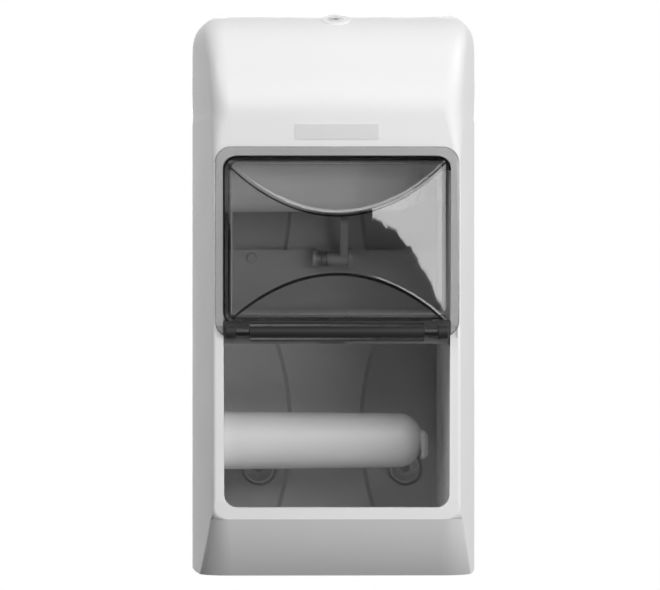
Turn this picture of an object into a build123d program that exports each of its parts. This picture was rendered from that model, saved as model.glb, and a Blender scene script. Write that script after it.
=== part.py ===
from build123d import *
import os
from math import sqrt, sin, cos, tan, radians, acos

# Double roll toilet paper dispenser for a wall, in millimetres.
# The wall is the plane Y = 0 and the front looks toward -Y. X runs to the right and Z upward.
# The origin is the centre of the wall screw pattern, on the wall.

# Whole body
body_width = 156.0
body_height = 302.0
body_depth = 150.0
cover_wall = 2.5
rim_to_wall = 2.0
overrun = 12.0
running_slip = 0.05
running_gap = 0.4
half_width = body_width / 2
half_height = body_height / 2

# Form of the cover: crowned sides, a round brow, a land round the opening and a receding chin
side_straight_depth = 30.0
side_crown_fall = 12.66
top_corner_radius = 16.0
brow_radius = 58.0
brow_end_angle = 82.0
brow_steps = 6
soft_edge_radius = 10.0
crisp_edge_radius = 2.0
soft_edge_length = 38.0
soften_steps = 3
chin_height = 31.8
chin_setback = 32.0
chin_arc_radius = 102.0
chin_edge_radius = 10.0
chin_foot_edge_radius = 17.0
chin_steps = 4
land_corner_shares = (0.0, 0.12, 0.4, 1.0)
brow_axis_height = half_height - brow_radius
brow_axis_depth = body_depth - brow_radius
chin_top = chin_height - half_height
crisp_edge_height = brow_axis_height - soft_edge_length
crown_depth = body_depth - side_straight_depth
side_crown_radius = (crown_depth**2 + side_crown_fall**2) / (side_crown_fall + side_crown_fall)

# Opening in the front, and the flap that hangs on a hinge across its middle
brow_above_opening = 78.5
land_height = 6.1
land_width_top = 17.7
land_width_bottom = 18.5
opening_top = half_height - brow_above_opening
opening_bottom = chin_top + land_height
opening_top_half = half_width - land_width_top
opening_bottom_half = half_width - land_width_bottom
opening_top_radius = 6.0
opening_bottom_radius = 6.9
opening_rim_wall = 2.0
opening_rim_depth = 7.0
hinge_below_top = 92.8
hinge_height = opening_top - hinge_below_top
flap_gap = 0.3
flap_thickness = 2.5
flap_side_lap = 4.4
flap_top_lap = 5.2
flap_half_width = opening_top_half + flap_side_lap
flap_rise = hinge_below_top + flap_top_lap
flap_drop = 2.8
flap_top_radius = 8.7
flap_bottom_radius = 9.0
hinge_depth = body_depth + flap_gap + flap_thickness / 2
hinge_rod_radius = 1.25

# Paper rolls and what carries them
upper_roll_height = 60.0
roll_pitch = 140.0
roll_depth = 75.0
lower_roll_height = upper_roll_height - roll_pitch
roller_left_radius = 15.75
roller_right_radius = 14.6
roller_wall = 2.6
roller_end_round = 11.5
roller_end_gap = 12.8
left_room = 17.6
right_room = 18.4
roll_bay_left = left_room - half_width
roll_bay_right = half_width - right_room
roller_right = roll_bay_right - roller_end_gap
side_wall_thickness = 3.0

# Back plate and its fixing to the wall
plate_thickness = 3.0
plate_gap = 1.1
plate_rim_wall = 1.8
plate_rim_depth = 10.0
wall_hole_side_inset = 37.0
wall_hole_end_inset = 53.0
wall_hole_spacing_x = body_width - wall_hole_side_inset * 2
wall_hole_spacing_z = body_height - wall_hole_end_inset * 2
wall_hole_radius = 2.75
plate_half = half_width - cover_wall - plate_gap
plate_top = half_height - cover_wall - plate_gap

# Hinge at the foot of the cover
cover_pivot_depth = 16.0
cover_pivot_rise = 7.0
cover_pivot_height = cover_pivot_rise - half_height
cover_pin_radius = 2.4

# Small screws
screw_radius = 1.5
screw_head_radius = 3.0
screw_head_height = 1.8
screw_head_bevel = 0.6
screw_length = 8.0


def save(piece, node_name):
    """Label a finished piece and write it under its node's name."""
    piece.part.label = node_name
    export_step(piece.part, "parts/" + node_name + ".step")


def side_at(depth, inset):
    """Half width of the cover at a depth from the wall."""
    if depth <= side_straight_depth:
        return half_width - inset
    radius = side_crown_radius - inset
    return half_width - inset - radius + sqrt(radius**2 - (depth - side_straight_depth) ** 2)


def front_at(height, inset):
    """Depth of the cover's front surface at a height."""
    if height > brow_axis_height:
        radius = brow_radius - inset
        return brow_axis_depth + sqrt(radius**2 - (height - brow_axis_height) ** 2)
    flat = body_depth - inset
    chord_half = sqrt(chin_setback**2 + chin_height**2) / 2
    centre_distance = sqrt(chin_arc_radius**2 - chord_half**2)
    lean = centre_distance / (chord_half + chord_half)
    arc_depth = body_depth - chin_setback / 2 - lean * chin_height
    arc_height = chin_top - chin_height / 2 + lean * chin_setback
    if height > arc_height:
        return flat
    return min(flat, arc_depth + sqrt((chin_arc_radius - inset) ** 2 - (height - arc_height) ** 2))


def cover_section(height, inset, edge_radius, rear):
    """Plan section of the cover at one height, drawn in by an inset."""
    front = front_at(height, inset)
    corner = top_corner_radius - inset
    above = height - (half_height - top_corner_radius)
    drawn_in = corner - sqrt(corner**2 - above**2) if above > 0 else 0
    middle_depth = (side_straight_depth + front) / 2
    rear_half = half_width - inset - drawn_in
    middle_half = side_at(middle_depth, inset) - drawn_in
    front_half = side_at(front, inset) - drawn_in
    with BuildSketch(Plane.XY.offset(height)) as section:
        with BuildLine():
            Line((-rear_half, -rear), (rear_half, -rear))
            Line((rear_half, -rear), (rear_half, -side_straight_depth))
            ThreePointArc((rear_half, -side_straight_depth), (middle_half, -middle_depth),
                          (front_half, -front))
            Line((front_half, -front), (-front_half, -front))
            ThreePointArc((-front_half, -front), (-middle_half, -middle_depth),
                          (-rear_half, -side_straight_depth))
            Line((-rear_half, -side_straight_depth), (-rear_half, -rear))
        make_face()
        fillet(section.vertices().group_by(Axis.Y)[0], edge_radius)
    return section.sketch.face()


def cover_form(inset, rear):
    """Solid form of the cover, drawn in by an inset, from chin to brow."""
    foot = inset - half_height
    chin_edge = chin_edge_radius - inset
    crisp_edge = max(crisp_edge_radius - inset, crisp_edge_radius / 2)
    soft_edge = soft_edge_radius - inset
    chin_rows = []
    for step in range(chin_steps + 1):
        share = step / chin_steps
        height = foot + (chin_top - foot) * share
        radius = chin_edge + (chin_foot_edge_radius - chin_edge_radius) * (1 - share)
        chin_rows.append(cover_section(height, inset, radius, rear))
    land_rows = []
    for share in land_corner_shares:
        rise = 1 - share
        radius = chin_edge * (1 - sqrt(1 - rise**2))
        height = chin_top + share * chin_edge_radius
        land_rows.append(cover_section(height, inset, max(radius, crisp_edge), rear))
    soften_rows = []
    for step in range(soften_steps + 1):
        share = step / soften_steps
        height = crisp_edge_height + (brow_axis_height - crisp_edge_height) * share
        radius = crisp_edge + (soft_edge - crisp_edge) * share * share
        soften_rows.append(cover_section(height, inset, radius, rear))
    brow_rows = []
    for step in range(brow_steps + 1):
        angle = radians(brow_end_angle) * step / brow_steps
        height = brow_axis_height + (brow_radius - inset) * sin(angle)
        brow_rows.append(cover_section(height, inset, soft_edge, rear))
    straight_rows = [land_rows[-1], soften_rows[0]]
    with BuildPart() as form:
        loft(sections=chin_rows)
        loft(sections=land_rows)
        loft(sections=straight_rows, ruled=True)
        loft(sections=soften_rows)
        loft(sections=brow_rows)
    return form.part


def opening_face(spread, depth):
    """Outline of the front opening, spread outward by a margin, at a depth from the wall."""
    top = opening_top + spread
    bottom = opening_bottom - spread
    top_half = opening_top_half + spread
    bottom_half = opening_bottom_half + spread
    with BuildSketch(Plane.XZ.offset(depth)) as outline:
        with BuildLine():
            Polyline((-bottom_half, bottom), (bottom_half, bottom), (top_half, top),
                     (-top_half, top), close=True)
        make_face()
        fillet(outline.vertices().group_by(Axis.Y)[0], opening_bottom_radius + spread)
        fillet(outline.vertices().group_by(Axis.Y)[-1], opening_top_radius + spread)
    return outline.sketch.face()


def opening_half_at(height):
    """Half width of the opening at a height."""
    share = (height - opening_bottom) / (opening_top - opening_bottom)
    return opening_bottom_half + (opening_top_half - opening_bottom_half) * share


# Crossbar sizes that the cover's seats follow
bar_half_height = 6.2
bar_setback = 2.0
bar_front = body_depth - bar_setback
bar_depth = 9.0
bar_wall = 2.0
bar_side_gap = 0.2
bar_half = opening_half_at(hinge_height - bar_half_height) - bar_side_gap
seat_half_height = 7.0
lug_half_height = 6.0
lug_thickness = 2.2
lug_reach = 4.1
lug_back = body_depth - opening_rim_depth
seat_screw_x = bar_half + lug_reach / 2
seat_screw_length = 5.0
seat_screw_radius = 1.1
seat_screw_head_radius = 1.9

# Lock sizes: its axis stands square to the brow
lock_tilt = 21.0
lock_ring_radius = 8.0
lock_ring_height = 1.4
lock_ring_bevel = 0.3
lock_ring_sink = 1.1
lock_body_radius = 6.0
lock_body_length = 10.0
lock_barrel_radius = 4.4
lock_depth = brow_axis_depth + brow_radius * sin(radians(lock_tilt))
lock_height = brow_axis_height + brow_radius * cos(radians(lock_tilt))
lock_plane = Plane(origin=(0, -lock_depth, lock_height), x_dir=(1, 0, 0),
                   z_dir=(0, -sin(radians(lock_tilt)), cos(radians(lock_tilt))))

# Blank strip on the front, above the flap
strip_half_width = 22.0
strip_height = 8.0
strip_above_flap = 3.8
strip_centre = hinge_height + flap_rise + strip_above_flap + strip_height / 2
strip_thickness = 0.6
strip_sink = 0.3

# Liner wall to the right of the rolls, and its bosses on the cover
liner_thickness = 2.0
liner_draft = 1.2
liner_above_foot = 34.0
liner_below_top = 55.0
liner_bottom = liner_above_foot - half_height
liner_top = half_height - liner_below_top
liner_rear = 13.0
liner_corner = 12.0
liner_outer = roll_bay_right + liner_thickness
boss_radius = 4.0
boss_rear_depth = 28.0
boss_front_inset = 32.0
boss_top_inset = 12.0
boss_bottom_inset = 33.0
boss_front_depth = body_depth - boss_front_inset
boss_high = liner_top - boss_top_inset
boss_low = liner_bottom + boss_bottom_inset
boss_places = ((boss_rear_depth, boss_high), (boss_front_depth, boss_high),
               (boss_rear_depth, boss_low), (boss_front_depth, boss_low))
pivot_boss_radius = 4.6
pivot_boss_height = 1.5
pivot_skin = 1.0


def front_cover_piece():
    """White cover: hollow form, opening with a turned-in rim, seats and bosses."""
    outer = cover_form(0, rim_to_wall)
    inner = cover_form(cover_wall, -overrun)
    boss_root = half_width - liner_outer
    with BuildPart() as inside:
        extrude(opening_face(opening_rim_wall, body_depth), amount=-opening_rim_depth)
        for side in (-1, 1):
            seat_centre = side * (bar_half + lug_reach / 2)
            with BuildSketch(Plane.XZ.offset(body_depth)):
                with Locations((seat_centre, hinge_height)):
                    Rectangle(lug_reach + opening_rim_wall, seat_half_height * 2)
            extrude(amount=-opening_rim_depth)
            pivot_plane = Plane.YZ.offset(side * (half_width - cover_wall - pivot_boss_height))
            with BuildSketch(pivot_plane):
                with Locations((-cover_pivot_depth, cover_pivot_height)):
                    Circle(pivot_boss_radius)
            extrude(amount=side * (pivot_boss_height + cover_wall))
        with BuildSketch(Plane.YZ.offset(liner_outer)):
            for depth, height in boss_places:
                with Locations((-depth, height)):
                    Circle(boss_radius)
        extrude(amount=boss_root)
        with BuildSketch(lock_plane):
            Circle(lock_ring_radius + cover_wall)
        extrude(amount=-(cover_wall + lock_ring_sink))
        add(outer, mode=Mode.INTERSECT)
    with BuildPart() as piece:
        add(outer)
        add(inner, mode=Mode.SUBTRACT)
        add(inside.part)
        extrude(opening_face(0, body_depth + overrun), amount=-(overrun + overrun + opening_rim_depth),
                mode=Mode.SUBTRACT)
        # The foot is open behind, where the back plate's ledge takes over
        foot_front = cover_pivot_depth + pivot_boss_radius + pivot_boss_radius
        with BuildSketch(Plane.XY.offset(-half_height - overrun)):
            with Locations((0, -foot_front / 2)):
                Rectangle((half_width - cover_wall) * 2, foot_front)
        extrude(amount=overrun + cover_wall, mode=Mode.SUBTRACT)
        for side in (-1, 1):
            # Relief in the land, in which the flap's lower corner turns
            relief_outer = flap_half_width - crisp_edge_radius / 2
            relief_half = flap_drop + running_gap
            with BuildSketch(Plane.XZ.offset(body_depth)):
                with Locations((side * relief_outer / 2, hinge_height)):
                    Rectangle(relief_outer, relief_half * 2)
            extrude(amount=-cover_wall / 2, mode=Mode.SUBTRACT)
            pin_plane = Plane.YZ.offset(side * (half_width - pivot_skin))
            with BuildSketch(pin_plane):
                with Locations((-cover_pivot_depth, cover_pivot_height)):
                    Circle(cover_pin_radius + running_slip)
            extrude(amount=-side * (cover_wall + pivot_boss_height), mode=Mode.SUBTRACT)
            with BuildSketch(Plane.XZ.offset(lug_back)):
                with Locations((side * seat_screw_x, hinge_height)):
                    Circle(seat_screw_radius)
            extrude(amount=seat_screw_length, mode=Mode.SUBTRACT)
        with BuildSketch(Plane.YZ.offset(liner_outer)):
            for depth, height in boss_places:
                with Locations((-depth, height)):
                    Circle(screw_radius)
        extrude(amount=screw_length / 2, mode=Mode.SUBTRACT)
        with BuildSketch(lock_plane.offset(-lock_ring_sink)):
            Circle(lock_ring_radius)
        extrude(amount=overrun, mode=Mode.SUBTRACT)
        with BuildSketch(lock_plane.offset(-lock_body_length)):
            Circle(lock_body_radius)
        extrude(amount=lock_body_length, mode=Mode.SUBTRACT)
        with BuildSketch(Plane.XZ.offset(body_depth)):
            with Locations((0, strip_centre)):
                Rectangle(strip_half_width * 2, strip_height)
        extrude(amount=-strip_sink, mode=Mode.SUBTRACT)
    return piece


def strip_piece():
    """Blank strip, let into the cover's front."""
    with BuildPart() as piece:
        with BuildSketch(Plane.XZ.offset(body_depth - strip_sink)):
            with Locations((0, strip_centre)):
                Rectangle(strip_half_width * 2, strip_height)
        extrude(amount=strip_thickness)
    return piece


def screw_group(plane, places, length, radius, head_radius):
    """Pan head screws standing on a plane, heads on its positive side."""
    with BuildPart() as screws:
        with BuildSketch(plane):
            with Locations(*places):
                Circle(head_radius)
        extrude(amount=screw_head_height)
        chamfer(screws.edges().group_by(Axis(plane.origin, plane.z_dir))[-1], screw_head_bevel)
        with BuildSketch(plane):
            with Locations(*places):
                Circle(radius)
        extrude(amount=-length)
    return screws


def liner_piece():
    """Inner wall on the right of the rolls, whose face leans in toward the rear."""
    notch_half = seat_half_height + running_gap
    front = lug_back
    notch_depth = lug_thickness + screw_head_height + screw_head_height
    rear_face = roll_bay_right - liner_draft
    with BuildPart() as piece:
        with BuildSketch(Plane.YZ.offset(rear_face)) as outline:
            with BuildLine():
                Polyline((-liner_rear, liner_bottom), (-liner_rear, liner_top), (-front, liner_top),
                         (-front, hinge_height + notch_half),
                         (-front + notch_depth, hinge_height + notch_half),
                         (-front + notch_depth, hinge_height - notch_half),
                         (-front, hinge_height - notch_half), (-front, liner_bottom), close=True)
            make_face()
            fillet(outline.vertices().group_by(Axis.Y)[-1], liner_corner)
        extrude(amount=liner_thickness + liner_draft)
        with BuildSketch(Plane.XY.offset(liner_bottom)):
            with BuildLine():
                Polyline((rear_face, -liner_rear), (rear_face, -front), (roll_bay_right, -front), close=True)
            make_face()
        extrude(amount=liner_top - liner_bottom, mode=Mode.SUBTRACT)
        with BuildSketch(Plane.YZ.offset(rear_face)):
            for depth, height in boss_places:
                with Locations((-depth, height)):
                    Circle(screw_radius)
        extrude(amount=liner_thickness + liner_draft, mode=Mode.SUBTRACT)
        with BuildSketch(Plane.YZ.offset(rear_face)):
            for depth, height in boss_places:
                with Locations((-depth, height)):
                    Circle(screw_head_radius + running_gap)
        extrude(amount=liner_draft + liner_thickness / 2, mode=Mode.SUBTRACT)
    return piece


def liner_screw_group():
    """Flat head screws sunk into the liner and held in the cover's bosses."""
    places = [(-depth, height) for depth, height in boss_places]
    with BuildPart() as screws:
        with BuildSketch(Plane.YZ.offset(roll_bay_right)):
            with Locations(*places):
                Circle(screw_head_radius)
        extrude(amount=liner_thickness / 2)
        with BuildSketch(Plane.YZ.offset(roll_bay_right)):
            with Locations(*places):
                Circle(screw_radius)
        extrude(amount=screw_length / 2 + liner_thickness / 2)
    return screws


# Hinge of the flap
barrel_side_room = 18.7
barrel_half = flap_half_width - barrel_side_room
barrel_radius = 2.9
knuckle_start = barrel_half + running_gap
knuckle_side_room = 11.6
knuckle_end = flap_half_width - knuckle_side_room
knuckle_radius = 2.6
post_start = knuckle_end + running_gap
post_side_room = 6.2
post_end = flap_half_width - post_side_room
post_radius = 3.2
post_web_half = 2.0
barrel_web_half = 1.5
barrel_web_width = 6.0
barrel_end_to_web = 10.0
barrel_web_pitch = barrel_half - barrel_end_to_web
barrel_groove_radius = 0.35
barrel_groove_count = 5
barrel_groove_start = -60.0
barrel_groove_sweep = 120.0
bar_notch_width = 14.0
bar_notch_height = 0.9
bar_notch_x = -3.0
bar_slot_near = 3.1
bar_slot_far = 4.8
rod_half = post_end - running_gap
slot_above = 5.0


def crossbar_piece():
    """Grey crossbar behind the flap: slotted channel with two end lugs."""
    with BuildPart() as piece:
        with BuildSketch(Plane.XZ.offset(bar_front)):
            with Locations((0, hinge_height)):
                Rectangle(bar_half * 2, bar_half_height * 2)
        extrude(amount=-bar_depth)
        with BuildSketch(Plane.XZ.offset(bar_front - bar_wall)):
            with Locations((0, hinge_height)):
                Rectangle((bar_half - bar_wall) * 2, (bar_half_height - bar_wall) * 2)
        extrude(amount=-bar_depth, mode=Mode.SUBTRACT)
        for side in (-1, 1):
            with BuildSketch(Plane.XZ.offset(lug_back)):
                with Locations((side * (bar_half + lug_reach / 2), hinge_height)):
                    Rectangle(lug_reach, lug_half_height * 2)
            extrude(amount=-lug_thickness)
            with BuildSketch(Plane.XZ.offset(lug_back)):
                with Locations((side * seat_screw_x, hinge_height)):
                    Circle(seat_screw_radius)
            extrude(amount=-lug_thickness, mode=Mode.SUBTRACT)
        slot_centre = (bar_slot_near + bar_slot_far) / 2
        with BuildSketch(Plane.XZ.offset(bar_front)):
            with Locations((0, hinge_height - slot_centre), (0, hinge_height + slot_centre)):
                Rectangle(barrel_half * 2, bar_slot_far - bar_slot_near)
            with Locations((bar_notch_x, hinge_height - bar_half_height + bar_notch_height / 2)):
                Rectangle(bar_notch_width, bar_notch_height)
        extrude(amount=-bar_wall, mode=Mode.SUBTRACT)
    return piece


def barrel_piece():
    """Smoked hinge barrel on three webs off the crossbar, and the post at each end of the hinge."""
    with BuildPart() as piece:
        with BuildSketch(Plane.YZ.offset(-barrel_half)):
            with Locations((-hinge_depth, hinge_height)):
                Circle(barrel_radius)
                with PolarLocations(barrel_radius, barrel_groove_count, barrel_groove_start,
                                    barrel_groove_sweep):
                    Circle(barrel_groove_radius, mode=Mode.SUBTRACT)
        extrude(amount=barrel_half * 2)
        with BuildSketch(Plane.XZ.offset(bar_front)):
            with Locations((0, hinge_height)):
                with GridLocations(barrel_web_pitch, 0, 3, 1):
                    Rectangle(barrel_web_width, barrel_web_half * 2)
        extrude(amount=hinge_depth - bar_front)
        with BuildSketch(Plane.YZ.offset(-barrel_half)):
            with Locations((-hinge_depth, hinge_height)):
                Circle(hinge_rod_radius)
        extrude(amount=barrel_half * 2, mode=Mode.SUBTRACT)
        for side in (-1, 1):
            post_plane = Plane.YZ.offset(side * post_start)
            with BuildSketch(post_plane):
                with Locations((-hinge_depth, hinge_height)):
                    Circle(post_radius)
                with Locations(((-hinge_depth - bar_front) / 2, hinge_height)):
                    Rectangle(hinge_depth - bar_front, post_web_half * 2)
            extrude(amount=side * (post_end - post_start))
            with BuildSketch(post_plane):
                with Locations((-hinge_depth, hinge_height)):
                    Circle(hinge_rod_radius)
            extrude(amount=side * (rod_half - post_start), mode=Mode.SUBTRACT)
    return piece


def rod_piece():
    """Steel rod of the flap's hinge."""
    with BuildPart() as piece:
        with BuildSketch(Plane.YZ.offset(-rod_half)):
            with Locations((-hinge_depth, hinge_height)):
                Circle(hinge_rod_radius)
        extrude(amount=rod_half * 2)
    return piece


# Facets of the flap: an upright cylinder cut by two sloping planes
bulge = 12.2
step_rise = 1.8
bulge_side_room = 7.4
bulge_half = flap_half_width - bulge_side_room
lens_top_room = 7.7
lens_top = flap_rise - lens_top_room
smile_height = 63.4
frown_height = 31.1
lens_bottom = 5.8
window_wall = 2.2
facet_edge_radius = 4.5
flap_edge_radius = 1.0
flap_front = hinge_depth + flap_thickness / 2
facet_base = flap_front + step_rise
bulge_radius = (bulge_half**2 + bulge**2) / (bulge + bulge)


def facet_form(inset, base_depth):
    """Solid under the flap's facets and the step round them, drawn in by an inset, down to a base depth."""
    upper_angle = acos((lens_top - smile_height) / sqrt((lens_top - smile_height) ** 2 + bulge**2))
    lower_angle = acos((frown_height - lens_bottom) / sqrt((frown_height - lens_bottom) ** 2 + bulge**2))
    base = base_depth - facet_base
    peak = bulge + window_wall
    low_base = lens_bottom + inset / sin(lower_angle) + base / tan(lower_angle)
    low_peak = lens_bottom + inset / sin(lower_angle) + peak / tan(lower_angle)
    top_base = lens_top - inset / sin(upper_angle) - base / tan(upper_angle)
    top_peak = lens_top - inset / sin(upper_angle) - peak / tan(upper_angle)
    cylinder_depth = facet_base + bulge - bulge_radius
    with BuildPart() as form:
        with BuildSketch(Plane.XY.offset(hinge_height)):
            with Locations((0, -cylinder_depth)):
                Circle(bulge_radius - inset)
            with Locations((0, -base_depth + bulge_radius)):
                Rectangle(bulge_radius * 4, bulge_radius * 2, mode=Mode.SUBTRACT)
        extrude(amount=flap_rise)
        with BuildSketch(Plane.YZ.offset(-bulge_radius)):
            with BuildLine():
                Polyline((-base_depth, hinge_height + low_base),
                         (-facet_base - peak, hinge_height + low_peak),
                         (-facet_base - peak, hinge_height + top_peak),
                         (-base_depth, hinge_height + top_base), close=True)
            make_face()
        extrude(amount=bulge_radius * 2, mode=Mode.INTERSECT)
        fillet(form.edges().filter_by(GeomType.ELLIPSE), facet_edge_radius - inset)
        with BuildSketch(Plane.XZ.offset(base_depth)):
            with Locations((0, hinge_height + (lens_top + lens_bottom) / 2)):
                Rectangle((bulge_half - inset) * 2, lens_top - lens_bottom - inset * 2)
        extrude(amount=facet_base + peak, mode=Mode.INTERSECT)
    return form.part


def flap_piece():
    """Smoked window flap: flat frame, faceted bulge and two knuckles."""
    flap_back = flap_front - flap_thickness
    notch_half = post_end + running_gap
    with BuildPart() as piece:
        with BuildSketch(Plane.XZ.offset(flap_back)) as frame:
            with Locations((0, hinge_height + (flap_rise - flap_drop) / 2)):
                Rectangle(flap_half_width * 2, flap_rise + flap_drop)
            fillet(frame.vertices().group_by(Axis.Y)[-1], flap_top_radius)
            fillet(frame.vertices().group_by(Axis.Y)[0], flap_bottom_radius)
        extrude(amount=flap_thickness)
        fillet(piece.faces().sort_by(Axis.Y)[0].edges(), flap_edge_radius)
        add(facet_form(0, flap_front))
        add(facet_form(window_wall, flap_back), mode=Mode.SUBTRACT)
        with BuildSketch(Plane.XZ.offset(flap_back - overrun)):
            with Locations((0, hinge_height + (slot_above - overrun) / 2)):
                Rectangle(knuckle_start * 2, slot_above + overrun)
            for side in (-1, 1):
                with Locations((side * (knuckle_end + notch_half) / 2,
                                hinge_height + (post_radius + running_gap - overrun) / 2)):
                    Rectangle(notch_half - knuckle_end, post_radius + running_gap + overrun)
                with Locations((side * (knuckle_start + knuckle_end) / 2, hinge_height - overrun / 2)):
                    Rectangle(knuckle_end - knuckle_start, overrun)
        extrude(amount=overrun + overrun, mode=Mode.SUBTRACT)
        for side in (-1, 1):
            with BuildSketch(Plane.YZ.offset(side * knuckle_start)):
                with Locations((-hinge_depth, hinge_height)):
                    Circle(knuckle_radius)
            extrude(amount=side * (knuckle_end - knuckle_start))
        with BuildSketch(Plane.YZ.offset(-knuckle_end)):
            with Locations((-hinge_depth, hinge_height)):
                Circle(hinge_rod_radius + running_slip)
        extrude(amount=knuckle_end * 2, mode=Mode.SUBTRACT)
    return piece


# Lock parts, measured down from the brow along the lock's axis
lock_nut_radius = 8.4
lock_nut_height = 3.0
lock_key_slot = 3.0
lock_key_width = 1.2
lock_key_depth = 2.5
lock_tail = 19.0
cam_thickness = 2.4
cam_hub_radius = 5.0
cam_arm_width = 7.0
cam_reach = 14.0
cam_square = 4.2
cam_screw_head_radius = 2.8
lock_top = lock_ring_height - lock_ring_sink
boss_bottom = cover_wall + lock_ring_sink


def lock_collar_piece():
    """Round collar of the lock, with its body through the cover."""
    with BuildPart() as piece:
        with BuildSketch(lock_plane.offset(-lock_ring_sink)):
            Circle(lock_ring_radius)
        extrude(amount=lock_ring_height)
        chamfer(piece.edges().sort_by(Axis.Z)[-1], lock_ring_bevel)
        with BuildSketch(lock_plane.offset(-lock_body_length)):
            Circle(lock_body_radius)
        extrude(amount=lock_body_length - lock_ring_sink)
        with BuildSketch(lock_plane.offset(-lock_body_length)):
            Circle(lock_barrel_radius + running_slip)
        extrude(amount=lock_body_length + overrun, mode=Mode.SUBTRACT)
    return piece


def lock_nut_piece():
    """Nut that clamps the collar from inside the cover."""
    with BuildPart() as piece:
        with BuildSketch(lock_plane.offset(-boss_bottom - lock_nut_height - running_slip)):
            RegularPolygon(lock_nut_radius, 6)
            Circle(lock_body_radius, mode=Mode.SUBTRACT)
        extrude(amount=lock_nut_height)
    return piece


def lock_barrel_piece():
    """Turning barrel with its key slot above and a square tail below."""
    with BuildPart() as piece:
        with BuildSketch(lock_plane.offset(-lock_body_length)):
            Circle(lock_barrel_radius)
        extrude(amount=lock_body_length + lock_top)
        with BuildSketch(lock_plane.offset(-lock_tail)):
            Rectangle(cam_square, cam_square)
        extrude(amount=lock_tail - lock_body_length)
        with BuildSketch(lock_plane.offset(lock_top - lock_key_depth)):
            Rectangle(lock_key_slot * 2, lock_key_width)
            Circle(lock_key_slot / 2)
        extrude(amount=overrun, mode=Mode.SUBTRACT)
        with BuildSketch(lock_plane.offset(-lock_tail)):
            Circle(screw_radius)
        extrude(amount=cam_thickness, mode=Mode.SUBTRACT)
    return piece


def lock_cam_piece():
    """Cam on the barrel's square tail, which turns in behind the catch."""
    with BuildPart() as piece:
        with BuildSketch(lock_plane.offset(-lock_tail)):
            Circle(cam_hub_radius)
            with Locations((0, cam_reach / 2)):
                Rectangle(cam_arm_width, cam_reach)
            Rectangle(cam_square, cam_square, mode=Mode.SUBTRACT)
        extrude(amount=cam_thickness)
    return piece


def cam_screw_piece():
    """Screw that holds the cam on the barrel's tail."""
    with BuildPart() as piece:
        with BuildSketch(lock_plane.offset(-lock_tail - screw_head_height)):
            Circle(cam_screw_head_radius)
        extrude(amount=screw_head_height)
        with BuildSketch(lock_plane.offset(-lock_tail)):
            Circle(screw_radius)
        extrude(amount=cam_thickness)
    return piece


# Back plate details
panel_thickness = 2.5
panel_side_slope = 41.0
panel_centre_x = -3.5
panel_waist_half = 21.0
panel_curve_radius = 150.0
panel_waist_shift = 5.0
panel_top_margin = 9.4
panel_bottom_margin = 9.0
wall_boss_radius = 8.4
wall_boss_height = 5.0
wall_boss_groove = 1.5
wall_boss_groove_depth = 1.6
wall_boss_dish_radius = 7.2
wall_boss_seat_radius = 4.6
wall_boss_dish = 3.6
wall_boss_lip_round = 0.6
plate_bottom_gap = 2.0
plate_bottom = plate_bottom_gap - half_height
panel_bottom = plate_bottom + panel_bottom_margin
panel_top = plate_top - panel_top_margin
ledge_thickness = 2.2
ledge_front = 24.0
lug_side_room = 5.0
lug_outer = half_width - lug_side_room
pivot_lug_thickness = 4.0
pivot_lug_radius = 4.6
rear_pocket_depth = 1.5
rear_pocket_half = 19.0
rear_pocket_margin = 8.0
panel_front = plate_thickness + panel_thickness
pad_radius = 6.0
pad_side_room = 14.6
pad_x = roll_bay_right - pad_side_room
divider_below_roll = 35.5
divider_flange_height = 9.0
divider_flange_top = upper_roll_height - divider_below_roll
divider_flange_bottom = divider_flange_top - divider_flange_height
divider_screw_height = (divider_flange_top + divider_flange_bottom) / 2
catch_screw_spacing = 26.0
catch_base_height = 12.0
catch_base_half = 19.0
catch_below_lock = 23.05
catch_height = lock_height - catch_below_lock
side_foot_width = 7.6
side_foot_x = roll_bay_left - side_wall_thickness - side_foot_width / 2
side_wall_above_foot = 27.0
side_wall_below_top = 39.0
side_wall_bottom = side_wall_above_foot - half_height
side_wall_top = half_height - side_wall_below_top
side_foot_screw_shares = (0.085, 0.37, 0.68, 0.95)
side_foot_screws = [side_wall_bottom + (side_wall_top - side_wall_bottom) * share
                    for share in side_foot_screw_shares]


def plate_face(inset, depth):
    """Outline of the back plate at a depth from the wall, drawn in by an inset."""
    top = plate_top - inset
    bottom = plate_bottom + inset
    with BuildSketch(Plane.XZ.offset(depth)) as outline:
        with Locations((0, (top + bottom) / 2)):
            Rectangle((plate_half - inset) * 2, top - bottom)
        fillet(outline.vertices().group_by(Axis.Y)[-1], top_corner_radius - cover_wall - plate_gap - inset)
    return outline.sketch.face()


def panel_corner(side, height, waist):
    """Point on a side of the panel at a height, on the arc that has its waist at a given height."""
    spread = panel_curve_radius - sqrt(panel_curve_radius**2 - (height - waist) ** 2)
    return (panel_centre_x + side * (panel_waist_half + spread), height)


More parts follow.
